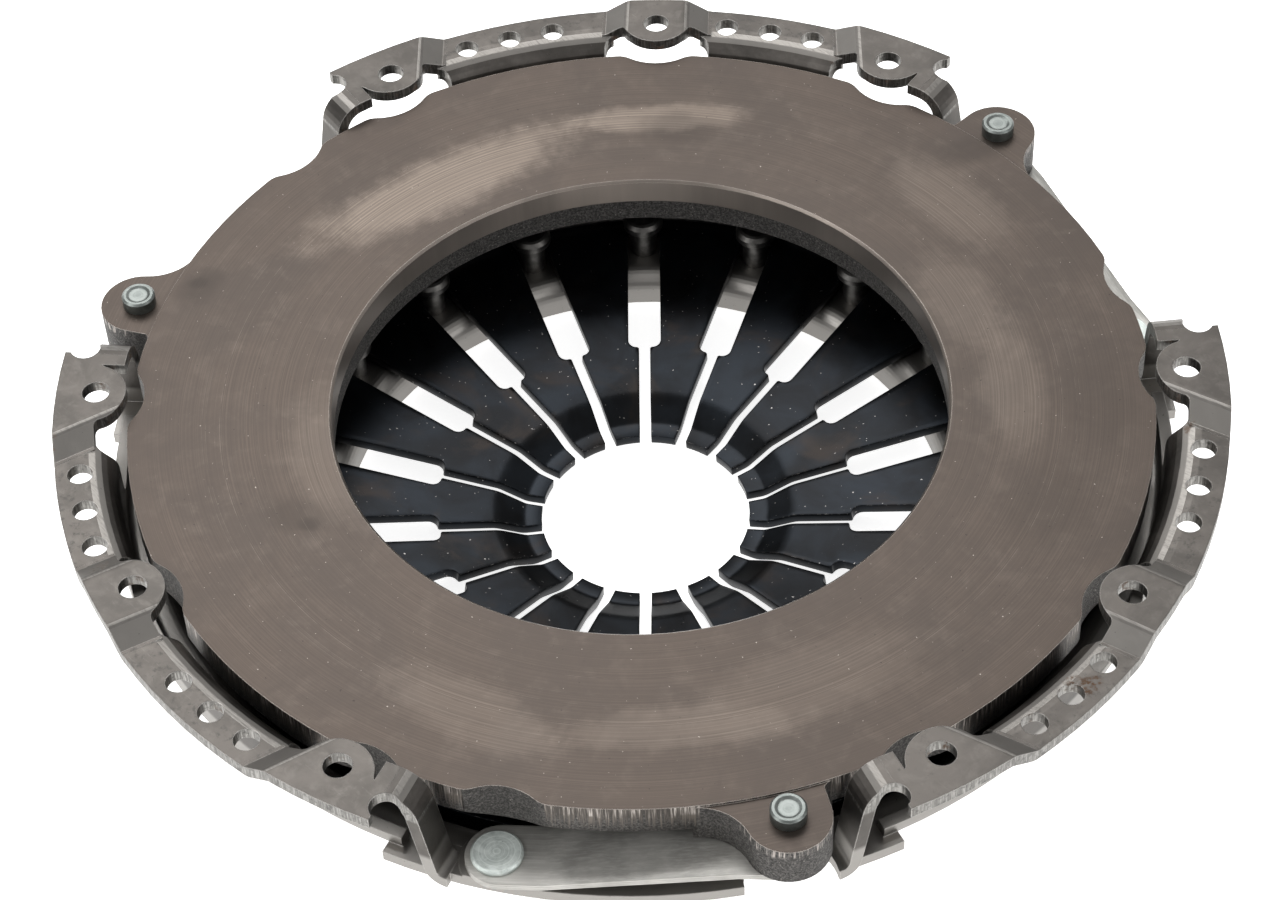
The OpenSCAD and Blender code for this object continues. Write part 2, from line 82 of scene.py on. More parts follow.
def meshFrom(name, points, faces):
    mesh = bpy.data.meshes.new(name)
    mesh.from_pydata([tuple(p) for p in points], [], faces)
    mesh.validate()
    for poly in mesh.polygons:
        poly.use_smooth = True
    return mesh


def thicken(obj, s, even):
    # gives a sheet its thickness and broken edges, and keeps the result as its mesh
    plump = obj.modifiers.new("thickness", "SOLIDIFY")
    plump.thickness = s["thick"] * mm
    plump.offset = 0
    plump.use_even_offset = even
    soften = obj.modifiers.new("edges", "BEVEL")
    soften.width = s["edgeBreak"] * mm
    soften.segments = 2
    soften.angle_limit = math.radians(s["edgeAngle"])
    graph = bpy.context.evaluated_depsgraph_get()
    made = bpy.data.meshes.new_from_object(obj.evaluated_get(graph))
    obj.modifiers.clear()
    obj.data = made
    obj.data.shade_smooth()
    obj.data.set_sharp_from_angle(angle=math.radians(s["sharpAngle"]))


# Camera, table and lamps

cameraSetup = {
    "lens": 92.01, "sensor": 36,
    "distance": 1300.6,
    "azimuth": 2.097,
    "elevation": 47.697,
    "roll": -2.845,
    "shiftX": 0.364,              # sideways and upwards steps of the camera, in mm
    "shiftY": -28.014,
    "near": 0.05, "far": 20,       # metres
}


def placeCamera(setup):
    az, el, roll = (math.radians(setup[k]) for k in ("azimuth", "elevation", "roll"))
    back = Vector((math.sin(az) * math.cos(el), -math.cos(az) * math.cos(el), math.sin(el)))
    right = Vector((math.cos(az), math.sin(az), 0))
    up = back.cross(right)
    side = right * math.cos(roll) + up * math.sin(roll)
    top = up * math.cos(roll) - right * math.sin(roll)
    data = bpy.data.cameras.new("camera")
    data.sensor_width = setup["sensor"]
    data.lens = setup["lens"]
    data.clip_start = setup["near"]
    data.clip_end = setup["far"]
    cam = bpy.data.objects.new("camera", data)
    place = (back * setup["distance"] + side * setup["shiftX"] + top * setup["shiftY"]) * mm
    turn = Matrix((side, top, back)).transposed()
    cam.matrix_world = Matrix.Translation(place) @ turn.to_4x4()
    sceneRoot.collection.objects.link(cam)
    sceneRoot.camera = cam


placeCamera(cameraSetup)
print("camera placed")

tableSetup = {
    "half": 3.0, "gap": 0.0004,   # metres, the gap lies under the part
    "glow": 0.85,                 # a light table, so that no hard shadow lies under the part
    "colour": (0.93, 0.93, 0.92, 1), "roughness": 0.7,
}


def makeTable(setup):
    low = cadBox[0].z - setup["gap"]
    half = setup["half"]
    corners = [(-half, -half, low), (half, -half, low), (half, half, low), (-half, half, low)]
    table = addObject("table", meshFrom("table", corners, [(0, 1, 2, 3)]))
    mat = bpy.data.materials.new("pale table")
    mat.use_nodes = True
    shader = mat.node_tree.nodes["Principled BSDF"]
    shader.inputs["Base Color"].default_value = setup["colour"]
    shader.inputs["Roughness"].default_value = setup["roughness"]
    shader.inputs["Emission Color"].default_value = (1, 1, 1, 1)
    shader.inputs["Emission Strength"].default_value = setup["glow"]
    table.data.materials.append(mat)


# softboxes as position, size and power, all aimed at the clutch
softboxes = {
    "over the back": {"at": (-0.35, 1.25, 1.75), "size": (1.9, 1.3), "power": 32},
    "left of the front": {"at": (-1.7, -0.9, 1.3), "size": (1.1, 1.3), "power": 16},
    "right of the front": {"at": (1.6, -1.1, 1.0), "size": (1.0, 1.2), "power": 9},
}


def hangLamps(boxes, sky):
    world = bpy.data.worlds.new("studio")
    sceneRoot.world = world
    world.use_nodes = True
    backdrop = world.node_tree.nodes["Background"]
    backdrop.inputs["Color"].default_value = (*sky["colour"], 1)
    backdrop.inputs["Strength"].default_value = sky["strength"]
    for name, box in boxes.items():
        data = bpy.data.lights.new(name, "AREA")
        data.shape = "RECTANGLE"
        data.size, data.size_y = box["size"]
        data.energy = box["power"]
        lamp = bpy.data.objects.new(name, data)
        lamp.location = box["at"]
        lamp.rotation_euler = (-Vector(box["at"])).to_track_quat("-Z", "Y").to_euler()
        sceneRoot.collection.objects.link(lamp)


makeTable(tableSetup)
hangLamps(softboxes, {"colour": (1.0, 1.0, 1.0), "strength": 0.62})
sceneRoot.view_settings.view_transform = "Standard"
print("table and lamps placed")


# Short ways to wire up a finish

def startFinish(name, metallic, roughness):
    mat = bpy.data.materials.new(name)
    mat.use_nodes = True
    tree = mat.node_tree
    shader = tree.nodes["Principled BSDF"]
    shader.inputs["Metallic"].default_value = metallic
    shader.inputs["Roughness"].default_value = roughness
    return mat, tree, shader


def feed(tree, source, target):
    if hasattr(source, "is_output"):
        tree.links.new(source, target)
    else:
        target.default_value = source


def calc(tree, operation, first, second=0.0):
    node = tree.nodes.new("ShaderNodeMath")
    node.operation = operation
    for socket, value in zip(node.inputs, (first, second)):
        feed(tree, value, socket)
    return node.outputs[0]


def calcVector(tree, operation, first, second=(0, 0, 0), scale=1.0):
    node = tree.nodes.new("ShaderNodeVectorMath")
    node.operation = operation
    feed(tree, first, node.inputs[0])
    if operation in ("SUBTRACT", "DOT_PRODUCT"):
        feed(tree, second, node.inputs[1])
    if operation == "SCALE":
        node.inputs["Scale"].default_value = scale
    return node.outputs["Value"] if operation in ("LENGTH", "DOT_PRODUCT") else node.outputs[0]


def placeInMm(tree):
    where = tree.nodes.new("ShaderNodeTexCoord")
    return calcVector(tree, "SCALE", where.outputs["Object"], scale=1000)


def apart(tree, vector):
    node = tree.nodes.new("ShaderNodeSeparateXYZ")
    feed(tree, vector, node.inputs[0])
    return node.outputs


def together(tree, x, y, z):
    node = tree.nodes.new("ShaderNodeCombineXYZ")
    for socket, value in zip(node.inputs, (x, y, z)):
        feed(tree, value, socket)
    return node.outputs[0]


def grain(tree, where, size, detail=3.0, harsh=0.5, twist=0.0):
    # cloudy noise whose lumps are about this many units across
    node = tree.nodes.new("ShaderNodeTexNoise")
    feed(tree, where, node.inputs["Vector"])
    node.inputs["Scale"].default_value = 1 / size
    node.inputs["Detail"].default_value = detail
    node.inputs["Roughness"].default_value = harsh
    node.inputs["Distortion"].default_value = twist
    return node.outputs["Fac"]


def fade(tree, value, low, high, start=0.0, end=1.0):
    # start below low, end above high, smooth between them
    node = tree.nodes.new("ShaderNodeMapRange")
    node.interpolation_type = "SMOOTHSTEP"
    feed(tree, value, node.inputs["Value"])
    for name, number in (("From Min", low), ("From Max", high), ("To Min", start), ("To Max", end)):
        node.inputs[name].default_value = number
    return node.outputs[0]


def tint(tree, share, first, second):
    node = tree.nodes.new("ShaderNodeMix")
    node.data_type = "RGBA"
    feed(tree, share, node.inputs[0])
    for socket, value in ((node.inputs[6], first), (node.inputs[7], second)):
        feed(tree, value if hasattr(value, "is_output") else (*value, 1), socket)
    return node.outputs[2]


def relief(tree, height, depth, under):
    # bump of the given depth in mm, over the rounded edges
    node = tree.nodes.new("ShaderNodeBump")
    node.inputs["Strength"].default_value = 1.0
    node.inputs["Distance"].default_value = depth * mm
    feed(tree, height, node.inputs["Height"])
    feed(tree, under, node.inputs["Normal"])
    return node.outputs[0]


def facing(tree):
    node = tree.nodes.new("ShaderNodeTexCoord")
    return apart(tree, node.outputs["Normal"])


def dress(obj, mat):
    obj.data.materials.clear()
    obj.data.materials.append(mat)


def edgeBreak(tree, radius):
    # rounds each edge in the shading by so many mm, and tells where the edges are
    node = tree.nodes.new("ShaderNodeBevel")
    node.samples = 4
    node.inputs["Radius"].default_value = radius * mm
    square = tree.nodes.new("ShaderNodeNewGeometry").outputs["Normal"]
    same = calcVector(tree, "DOT_PRODUCT", node.outputs[0], square)
    return node.outputs[0], fade(tree, same, 0.80, 0.985, 1, 0)


def tintValue(tree, share, first, second):
    node = tree.nodes.new("ShaderNodeMix")
    feed(tree, share, node.inputs[0])
    feed(tree, first, node.inputs[2])
    feed(tree, second, node.inputs[3])
    return node.outputs[0]


def both(tree, *shares):
    # where all of the masks are
    result = shares[0]
    for share in shares[1:]:
        result = calc(tree, "MULTIPLY", result, share)
    return result


def spotMask(tree, across, spot, soft):
    # ragged oval, with its strength in the middle
    x, y, longHalf, wideHalf, degrees, strength = spot
    turn = math.radians(degrees)
    part = apart(tree, calcVector(tree, "SUBTRACT", across, (x, y, 0)))
    along = calc(tree, "ADD", calc(tree, "MULTIPLY", part[0], math.cos(turn) / longHalf),
                 calc(tree, "MULTIPLY", part[1], math.sin(turn) / longHalf))
    beside = calc(tree, "ADD", calc(tree, "MULTIPLY", part[0], -math.sin(turn) / wideHalf),
                  calc(tree, "MULTIPLY", part[1], math.cos(turn) / wideHalf))
    away = calcVector(tree, "LENGTH", together(tree, along, beside, 0.0))
    ragged = calc(tree, "MULTIPLY", grain(tree, across, 11, 5, 0.65), 1.1)
    return fade(tree, calc(tree, "ADD", away, ragged), 1.55 - soft, 1.55 + soft, strength, 0)


# Finishes: cast and turned iron first

turnedFace = {
    "z": -7.6, "boreR": 123.3, "stepZ": -19.1, "rimR": 204.5,
    "base": (0.086, 0.070, 0.060), "warm": (0.120, 0.095, 0.079), "dull": (0.058, 0.048, 0.042),
    "light": (0.17, 0.140, 0.118), "line": (0.20, 0.17, 0.145), "bright": (0.42, 0.38, 0.34),
    "pit": (0.025, 0.023, 0.021), "patch": (0.290, 0.240, 0.200), "stain": (0.040, 0.034, 0.030),
    "lineSize": 0.8, "cloudSize": 60, "mottleSize": 12, "speckSize": 1.3, "pitSize": 1.6,
    "lineDepth": 0.016,
    # x, y, half length, half width, turn and strength of each lighter patch
    "patches": [(-84, 124, 58, 15, 32, 0.62), (8, 163, 34, 8, 2, 0.55), (130, 107, 30, 14, 130, 0.22),
                (148, 2, 34, 12, 92, 0.20), (131, 48, 26, 14, 110, 0.18), (14, -168, 40, 9, 4, 0.20),
                (-62, -160, 36, 12, -32, 0.20), (-120, -30, 34, 16, 100, 0.20),
                (60, -150, 44, 16, 24, 0.14)],
    # the same for the darker stains
    "stains": [(16, 156, 15, 10, 0, 0.45), (-133, -61, 13, 8, -20, 0.42), (-182, 66, 11, 7, 60, 0.5),
               (142, 138, 13, 7, 10, 0.5), (182, -10, 15, 26, 0, 0.28), (158, -62, 22, 16, 60, 0.25),
               (-183, 68, 4, 3, 0, 0.7), (-128, -66, 4, 3, 0, 0.55)],
}
castWall = {
    "dark": (0.040, 0.038, 0.037), "light": (0.155, 0.148, 0.140), "scratch": (0.46, 0.42, 0.39),
    "landDark": (0.055, 0.049, 0.044), "landLight": (0.165, 0.145, 0.128),
    "bore": (0.170, 0.148, 0.130), "boreWarm": (0.25, 0.215, 0.188),
    "edge": (0.62, 0.57, 0.52),
    "grainSize": 0.9, "lumpSize": 4, "paintedGlintSize": 0.7, "streakSize": 0.75,
    "grainDepth": 0.5, "streakDepth": 0.2,
    "edgeRadius": 0.55,
}


def turnedColour(tree, across, lines, bands, cloud):
    # the friction face: worn patches and stains under fine turned rings
    c = turnedFace
    mottle = grain(tree, across, c["mottleSize"], 5, 0.62, 0.3)
    speck = grain(tree, across, c["speckSize"], 2, 0.5)
    pit = grain(tree, calcVector(tree, "SUBTRACT", across, (300, 90, 0)), c["pitSize"], 2, 0.5)
    face = tint(tree, fade(tree, cloud, 0.34, 0.66), c["dull"], c["warm"])
    face = tint(tree, 0.5, face, c["base"])
    face = tint(tree, fade(tree, mottle, 0.48, 0.80, 0, 0.32), face, c["light"])
    face = tint(tree, fade(tree, bands, 0.35, 0.68, 0, 0.22), face, c["dull"])
    for patch in c["patches"]:
        face = tint(tree, spotMask(tree, across, patch, 0.40), face, c["patch"])
    for stain in c["stains"]:
        face = tint(tree, spotMask(tree, across, stain, 0.55), face, c["stain"])
    face = tint(tree, fade(tree, lines, 0.34, 0.62, 0, 0.55), face, c["dull"])
    lit = both(tree, fade(tree, lines, 0.58, 0.72, 0, 0.7), fade(tree, mottle, 0.35, 0.6))
    face = tint(tree, lit, face, c["line"])
    face = tint(tree, fade(tree, speck, 0.745, 0.77, 0, 0.85), face, c["bright"])
    return tint(tree, fade(tree, pit, 0.735, 0.765, 0, 0.7), face, c["pit"])


def ironFinish():
    mat, tree, shader = startFinish("turned and cast iron", 0.9, 0.5)
    c, faceZ, rimR = castWall, turnedFace["z"], turnedFace["rimR"]
    where = placeInMm(tree)
    x, y, z = apart(tree, where)
    across = together(tree, x, y, 0.0)
    radius = calcVector(tree, "LENGTH", across)
    up = facing(tree)[2]
    rounded, edge = edgeBreak(tree, c["edgeRadius"])
    # tops are turned, and only the friction face has fine rings
    onTop = both(tree, fade(tree, up, 0.9, 0.97), fade(tree, z, faceZ - 1.6, faceZ - 1.3))
    onFace = both(tree, onTop, fade(tree, radius, rimR + 0.3, rimR, 0, 1))
    lines = grain(tree, together(tree, radius, 0.0, 0.0), turnedFace["lineSize"], 2, 0.7)
    bands = grain(tree, together(tree, calc(tree, "MULTIPLY", radius, 0.2), 0.0, 0.0), 1.0, 4, 0.65)
    cloud = grain(tree, across, turnedFace["cloudSize"], 6, 0.62, 0.5)
    face = turnedColour(tree, across, lines, bands, cloud)
    # sides as cast, with a turned band in the bore and turned lands on the rim
    rough = grain(tree, where, c["grainSize"], 6, 0.75)
    lump = grain(tree, where, c["lumpSize"], 3, 0.6)
    paintedGlint = grain(tree, where, c["paintedGlintSize"], 1, 0.5)
    streaked = together(tree, x, y, calc(tree, "MULTIPLY", z, 0.035))
    streak = grain(tree, streaked, c["streakSize"], 3, 0.7)
    side = tint(tree, fade(tree, rough, 0.40, 0.66), c["dark"], c["light"])
    side = tint(tree, fade(tree, lump, 0.55, 0.75, 0, 0.35), side, c["dark"])
    # painted glints: small bright specks in the scratch colour
    side = tint(tree, fade(tree, paintedGlint, 0.72, 0.76, 0, 0.8), side, c["scratch"])
    boreR, stepZ = turnedFace["boreR"], turnedFace["stepZ"]
    inBore = both(tree, fade(tree, radius, boreR + 1.6, boreR + 1.2, 0, 1),
                  fade(tree, z, stepZ - 0.3, stepZ))
    onLand = both(tree, fade(tree, radius, rimR - 0.25, rimR - 0.1),
                  fade(tree, radius, rimR + 0.1, rimR + 0.25, 1, 0))
    uneven = calc(tree, "ADD", z, calc(tree, "MULTIPLY", lump, 5.0))
    nearTop = fade(tree, uneven, faceZ - 3.2, faceZ - 1.2)
    onLugFront = both(tree, nearTop, fade(tree, radius, rimR + 6, rimR + 12))
    land = tint(tree, fade(tree, streak, 0.40, 0.62), c["landDark"], c["landLight"])
    ragged = calc(tree, "ADD", z, calc(tree, "MULTIPLY", streak, 26))
    land = tint(tree, fade(tree, ragged, faceZ + 2, faceZ + 9), side, land)
    land = tint(tree, both(tree, nearTop, fade(tree, streak, 0.52, 0.66)), land, c["scratch"])
    boreTurned = tint(tree, fade(tree, cloud, 0.35, 0.65), c["bore"], c["boreWarm"])
    side = tint(tree, inBore, side, boreTurned)
    side = tint(tree, onLand, side, land)
    side = tint(tree, both(tree, onLugFront, fade(tree, streak, 0.5, 0.62)), side, c["scratch"])
    colour = tint(tree, onTop, side, face)
    # edge wear and painted highlight: the edges near the friction face get a very light colour, standing in
    # for the highlight on their chamfer
    edgeWearAndHighlight = both(tree, edge, fade(tree, z, faceZ - 2.2, faceZ - 1.0), fade(tree, rough, 0.30, 0.55, 0.35, 1))
    colour = tint(tree, edgeWearAndHighlight, colour, c["edge"])
    feed(tree, colour, shader.inputs["Base Color"])
    cut = calc(tree, "MAXIMUM", inBore, onLand)
    faceShine = calc(tree, "ADD", 0.38, calc(tree, "MULTIPLY", cloud, 0.18))
    sideShine = tintValue(tree, cut, 0.60, 0.38)
    feed(tree, tintValue(tree, onTop, sideShine, faceShine), shader.inputs["Roughness"])
    fine = calc(tree, "ADD", calc(tree, "MULTIPLY", lines, onFace), calc(tree, "MULTIPLY", bands, 0.3))
    coarse = both(tree, calc(tree, "ADD", rough, lump), calc(tree, "SUBTRACT", 1.0, cut))
    sideHigh = calc(tree, "ADD", calc(tree, "MULTIPLY", coarse, c["grainDepth"]),
                    calc(tree, "MULTIPLY", both(tree, streak, onLand), c["streakDepth"]))
    high = tintValue(tree, onTop, sideHigh, calc(tree, "MULTIPLY", fine, turnedFace["lineDepth"]))
    feed(tree, relief(tree, high, 1.0, rounded), shader.inputs["Normal"])
    return mat


pressing = {
    "base": (0.104, 0.095, 0.087), "dull": (0.066, 0.061, 0.056), "light": (0.155, 0.144, 0.132),
    "bright": (0.31, 0.295, 0.275), "back": (0.36, 0.345, 0.325), "edge": (0.50, 0.485, 0.46),
    "cut": (0.17, 0.165, 0.155), "cutBright": (0.40, 0.39, 0.37),
    "rust": (0.090, 0.040, 0.013), "darkSpot": (0.05, 0.048, 0.045),
    "padEdgeR": 217, "rise": 5.7, "backZ": -30,
    "scratchSize": 1.3, "cloudSize": 30, "mottleSize": 7, "speckSize": 1.7, "grimeSize": 5,
    "streakSize": 0.8,
    "edgeRadius": 0.7, "depth": 0.035,
    # x, y, half length, half width, turn and strength of each rust spot
    "rustSpots": [(165, -153.5, 5, 3.5, 40, 0.8), (159, -152, 4, 3, 0, 0.75),
                  (215.6, -25.8, 4, 2.5, 70, 0.55), (85.8, 198.6, 3, 2, 20, 0.5),
                  (-232, -26, 4, 2, 80, 0.5), (-206, -90, 5, 3, 60, 0.3)],
}


def coverFinish():
    mat, tree, shader = startFinish("pressed steel", 1.0, 0.4)
    c = pressing
    where = placeInMm(tree)
    x, y, z = apart(tree, where)
    across = together(tree, x, y, 0.0)
    radius = calcVector(tree, "LENGTH", across)
    up = facing(tree)[2]
    rounded, edge = edgeBreak(tree, c["edgeRadius"])
    askew = calc(tree, "MULTIPLY", calc(tree, "SUBTRACT", y, x), 0.06)
    scratch = grain(tree, together(tree, calc(tree, "ADD", x, y), askew, z), c["scratchSize"], 5, 0.75)
    cloud = grain(tree, where, c["cloudSize"], 5, 0.6, 0.6)
    mottle = grain(tree, where, c["mottleSize"], 4, 0.65, 0.4)
    speck = grain(tree, where, c["speckSize"], 3, 0.6)
    grime = grain(tree, calcVector(tree, "SUBTRACT", where, (70, 11, 5)), c["grimeSize"], 6, 0.75)
    colour = tint(tree, fade(tree, cloud, 0.33, 0.68), c["dull"], c["base"])
    colour = tint(tree, fade(tree, mottle, 0.45, 0.75, 0, 0.35), colour, c["light"])
    colour = tint(tree, fade(tree, scratch, 0.60, 0.80, 0, 0.35), colour, c["bright"])
    stained = both(tree, fade(tree, grime, 0.56, 0.70), fade(tree, cloud, 0.5, 0.62, 0, 0.55))
    colour = tint(tree, stained, colour, c["darkSpot"])
    # painted sheen: the ramps between the pads are made lighter, and dirt lies in the low parts
    onFlange = fade(tree, z, -2 * c["rise"], -c["rise"] - 1.0)
    rampSheen = both(tree, fade(tree, up, 0.80, 0.84), fade(tree, up, 0.88, 0.92, 1, 0), onFlange)
    colour = tint(tree, calc(tree, "MULTIPLY", rampSheen, 0.6), colour, c["bright"])
    low = both(tree, fade(tree, up, 0.97, 0.995), onFlange,
               fade(tree, z, -c["rise"] + 0.5, -c["rise"] + 0.1))
    dirt = both(tree, low, fade(tree, grime, 0.50, 0.62), fade(tree, speck, 0.42, 0.58))
    colour = tint(tree, calc(tree, "MULTIPLY", dirt, 0.7), colour, c["darkSpot"])
    # painted light: below backZ the cover is made much lighter, standing in for light from the pale table
    # beneath
    colour = tint(tree, fade(tree, z, c["backZ"], c["backZ"] - 3, 0, 0.75), colour, c["back"])
    # painted highlight: the creases of the pads are made lighter, broken up by the scratch noise
    creaseHighlight = both(tree, fade(tree, up, 0.885, 0.93), fade(tree, up, 0.975, 0.996, 1, 0), onFlange,
                  fade(tree, scratch, 0.30, 0.55, 0.4, 1))
    colour = tint(tree, calc(tree, "MULTIPLY", creaseHighlight, 0.7), colour, c["bright"])
    colour = tint(tree, fade(tree, speck, 0.70, 0.74, 0, 0.6), colour, c["darkSpot"])
    # cut edges and the walls of the holes
    level = calc(tree, "ABSOLUTE", up)
    onCut = both(tree, fade(tree, level, 0.12, 0.3, 1, 0), fade(tree, z, -12.5, -11.0))
    streak = grain(tree, together(tree, x, y, calc(tree, "MULTIPLY", z, 0.08)), c["streakSize"], 3, 0.7)
    cut = tint(tree, fade(tree, streak, 0.42, 0.66), c["cut"], c["cutBright"])
    cut = tint(tree, fade(tree, speck, 0.52, 0.66, 0, 0.6), cut, c["darkSpot"])
    colour = tint(tree, calc(tree, "MULTIPLY", onCut, 0.8), colour, cut)
    colour = tint(tree, both(tree, edge, fade(tree, scratch, 0.25, 0.55, 0.3, 0.9)), colour, c["edge"])
    # rust in the window arches and in a few spots
    inner = both(tree, onCut, fade(tree, radius, c["padEdgeR"] + 1, c["padEdgeR"] + 3, 1, 0),
                 fade(tree, mottle, 0.52, 0.62), fade(tree, grime, 0.40, 0.60))
    rust = calc(tree, "MULTIPLY", inner, 0.7)
    for spot in c["rustSpots"]:
        spotted = both(tree, spotMask(tree, across, spot, 0.3), fade(tree, grime, 0.44, 0.56),
                       fade(tree, speck, 0.40, 0.56), onFlange)
        rust = calc(tree, "MAXIMUM", rust, spotted)
    colour = tint(tree, rust, colour, c["rust"])
    feed(tree, colour, shader.inputs["Base Color"])
    feed(tree, calc(tree, "SUBTRACT", 1.0, calc(tree, "MULTIPLY", rust, 0.8)), shader.inputs["Metallic"])
    shine = calc(tree, "ADD", 0.31, calc(tree, "MULTIPLY", cloud, 0.20))
    feed(tree, tintValue(tree, rust, shine, 0.8), shader.inputs["Roughness"])
    high = calc(tree, "ADD", calc(tree, "ADD", scratch, calc(tree, "MULTIPLY", cloud, 2.0)),
                calc(tree, "MULTIPLY", both(tree, streak, onCut), 3.0))
    feed(tree, relief(tree, high, c["depth"], rounded), shader.inputs["Normal"])
    return mat


springPaint = {
    "dark": (0.0068, 0.0072, 0.0080), "blue": (0.0130, 0.0155, 0.0190), "brown": (0.022, 0.017, 0.014),
    "speck": (0.25, 0.24, 0.23), "burr": (0.24, 0.23, 0.22),
    "cloudSize": 26, "brownSize": 34, "fineSize": 0.6, "speckSize": 1.4, "burrSize": 2.2,
    "edgeRadius": 0.5, "depth": 0.02,
}


def springFinish():
    mat, tree, shader = startFinish("oiled black spring steel", 0.92, 0.30)
    c = springPaint
    where = placeInMm(tree)
    rounded, edge = edgeBreak(tree, c["edgeRadius"])
    cloud = grain(tree, where, c["cloudSize"], 4, 0.55, 0.5)
    brown = grain(tree, calcVector(tree, "SUBTRACT", where, (40, 200, 9)), c["brownSize"], 4, 0.6, 0.8)
    fine = grain(tree, where, c["fineSize"], 3, 0.6)
    speck = grain(tree, where, c["speckSize"], 1, 0.5)
    broken = grain(tree, where, c["burrSize"], 4, 0.7)
    colour = tint(tree, fade(tree, cloud, 0.3, 0.7), c["dark"], c["blue"])
    colour = tint(tree, fade(tree, brown, 0.52, 0.72, 0, 0.6), colour, c["brown"])
    colour = tint(tree, fade(tree, speck, 0.76, 0.78, 0, 0.8), colour, c["speck"])
    colour = tint(tree, both(tree, edge, fade(tree, broken, 0.50, 0.60, 0, 0.75)), colour, c["burr"])
    feed(tree, colour, shader.inputs["Base Color"])
    feed(tree, calc(tree, "ADD", 0.22, calc(tree, "MULTIPLY", cloud, 0.16)), shader.inputs["Roughness"])
    high = calc(tree, "ADD", fine, calc(tree, "MULTIPLY", cloud, 3.0))
    feed(tree, relief(tree, high, c["depth"], rounded), shader.inputs["Normal"])
    return mat


strapPaint = {
    "base": (0.33, 0.322, 0.300), "light": (0.46, 0.448, 0.42), "brushed": (0.60, 0.59, 0.56),
    "band": (0.23, 0.225, 0.21), "edge": (0.52, 0.47, 0.44),
    "brushSize": 0.9, "bandSize": 6, "cloudSize": 22,
    "edgeRadius": 0.25, "depth": 0.02,
}


def strapFinish(name, degrees):
    # rolled strip, brushed along a strap that runs at this angle
    mat, tree, shader = startFinish(name, 0.6, 0.42)
    c = strapPaint
    where = placeInMm(tree)
    x, y, z = apart(tree, where)
    cosine, sine = math.cos(math.radians(degrees)), math.sin(math.radians(degrees))
    along = calc(tree, "ADD", calc(tree, "MULTIPLY", x, cosine), calc(tree, "MULTIPLY", y, sine))
    beside = calc(tree, "SUBTRACT", calc(tree, "MULTIPLY", y, cosine), calc(tree, "MULTIPLY", x, sine))
    rounded, edge = edgeBreak(tree, c["edgeRadius"])
    brushed = together(tree, calc(tree, "MULTIPLY", along, 0.03), beside, z)
    brush = grain(tree, brushed, c["brushSize"], 5, 0.7)
    slower = together(tree, calc(tree, "MULTIPLY", along, 0.12), beside, z)
    band = grain(tree, slower, c["bandSize"], 4, 0.6)
    cloud = grain(tree, where, c["cloudSize"], 4, 0.6)
    colour = tint(tree, fade(tree, cloud, 0.35, 0.65), c["base"], c["light"])
    colour = tint(tree, fade(tree, brush, 0.42, 0.72, 0, 0.55), colour, c["brushed"])
    colour = tint(tree, fade(tree, band, 0.50, 0.75, 0, 0.4), colour, c["band"])
    colour = tint(tree, both(tree, edge, fade(tree, brush, 0.35, 0.6, 0.35, 0.9)), colour, c["edge"])
    feed(tree, colour, shader.inputs["Base Color"])
    feed(tree, calc(tree, "ADD", 0.36, calc(tree, "MULTIPLY", cloud, 0.16)), shader.inputs["Roughness"])
    feed(tree, relief(tree, calc(tree, "ADD", brush, band), c["depth"], rounded), shader.inputs["Normal"])
    return mat


zincPaint = {
    "dull": (0.215, 0.238, 0.226), "base": (0.33, 0.355, 0.34), "ring": (0.45, 0.48, 0.46),
    "speck": (0.12, 0.13, 0.125), "edge": (0.62, 0.66, 0.64),
    "cloudSize": 5, "speckSize": 1.1,
    "edgeRadius": 0.4,
}


def zincFinish(name, rings, depth, metallic, light):
    # zinc plate, with turned rings round each rivet's own middle
    mat, tree, shader = startFinish(name, metallic, 0.3)
    dull, base, ring = (tuple(light * v for v in zincPaint[k]) for k in ("dull", "base", "ring"))
    own = tree.nodes.new("ShaderNodeTexCoord").outputs["Generated"]
    ownX, ownY, _ = apart(tree, calcVector(tree, "SUBTRACT", own, (0.5, 0.5, 0.5)))
    radius = calcVector(tree, "LENGTH", together(tree, ownX, ownY, 0.0))
    where = placeInMm(tree)
    up = facing(tree)[2]
    rounded, edge = edgeBreak(tree, zincPaint["edgeRadius"])
    cloud = grain(tree, where, zincPaint["cloudSize"], 5, 0.65, 0.8)
    speck = grain(tree, where, zincPaint["speckSize"], 3, 0.6)
    turns = grain(tree, together(tree, radius, 0.0, 0.0), rings, 2, 0.6)
    colour = tint(tree, fade(tree, cloud, 0.35, 0.68), dull, base)
    ringed = both(tree, fade(tree, turns, 0.42, 0.66, 0, 0.4), fade(tree, up, 0.8, 0.95))
    colour = tint(tree, ringed, colour, ring)
    colour = tint(tree, fade(tree, speck, 0.66, 0.74, 0, 0.5), colour, zincPaint["speck"])
    colour = tint(tree, calc(tree, "MULTIPLY", edge, 0.55), colour, zincPaint["edge"])
    feed(tree, colour, shader.inputs["Base Color"])
    feed(tree, calc(tree, "ADD", 0.27, calc(tree, "MULTIPLY", cloud, 0.2)), shader.inputs["Roughness"])
    feed(tree, relief(tree, turns, depth, rounded), shader.inputs["Normal"])
    return mat


rivetPaint = {
    "dark": (0.085, 0.082, 0.078), "light": (0.15, 0.145, 0.138), "edge": (0.40, 0.39, 0.37),
    "cloudSize": 4, "grainSize": 0.8,
    "edgeRadius": 0.4, "depth": 0.03,
}


